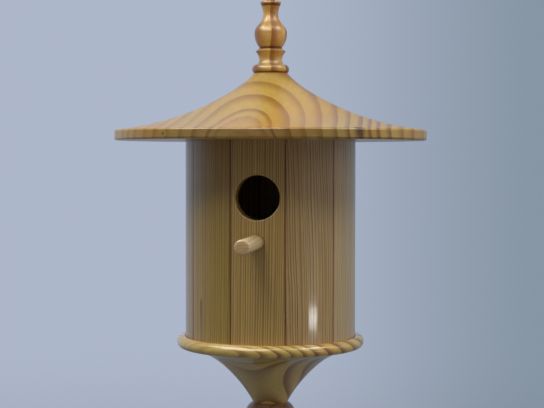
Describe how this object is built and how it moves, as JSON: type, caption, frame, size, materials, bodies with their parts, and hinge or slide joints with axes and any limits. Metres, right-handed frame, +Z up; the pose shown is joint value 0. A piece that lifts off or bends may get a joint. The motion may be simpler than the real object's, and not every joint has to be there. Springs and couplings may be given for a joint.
{
  "type": "hanging bird house",
  "caption": "Round hanging bird house of coopered pine staves, with a bell-shaped turned roof, an entrance hole, a dowel perch and a turned base that pulls off for cleaning.",
  "frame": {"origin": "middle of the screw eye's loop, on the turning axis", "axes": "+Z up along the turning axis, -Y out through the entrance hole"},
  "size_m": [0.279, 0.2919, 0.442],
  "materials": {
    "brass_wire": "polished",
    "finial_pine": "gloss varnish",
    "roof_pine": "gloss varnish",
    "stave_pine": "satin varnish",
    "tray_pine": "gloss varnish",
    "perch_pine": "satin varnish",
    "inner_pine": "bare"
  },
  "bodies": {
    "house": {"screw_eye": "brass_wire", "finial": "finial_pine", "roof": "roof_pine", "roof_plug": "inner_pine", "front_stave": "stave_pine", "stave_02": "stave_pine", "stave_03": "stave_pine", "stave_04": "stave_pine", "stave_05": "stave_pine", "stave_06": "stave_pine", "stave_07": "stave_pine", "stave_08": "stave_pine", "stave_09": "stave_pine", "stave_10": "stave_pine", "perch": "perch_pine"},
    "base": {"tray": "tray_pine", "base_plug": "inner_pine", "drop_finial": "finial_pine"}
  },
  "joints": [
    {"name": "base_pull", "type": "slide", "parent": "house", "child": "base", "axis": [0, 0, -1], "range_m": [0, 0.04]}
  ]
}
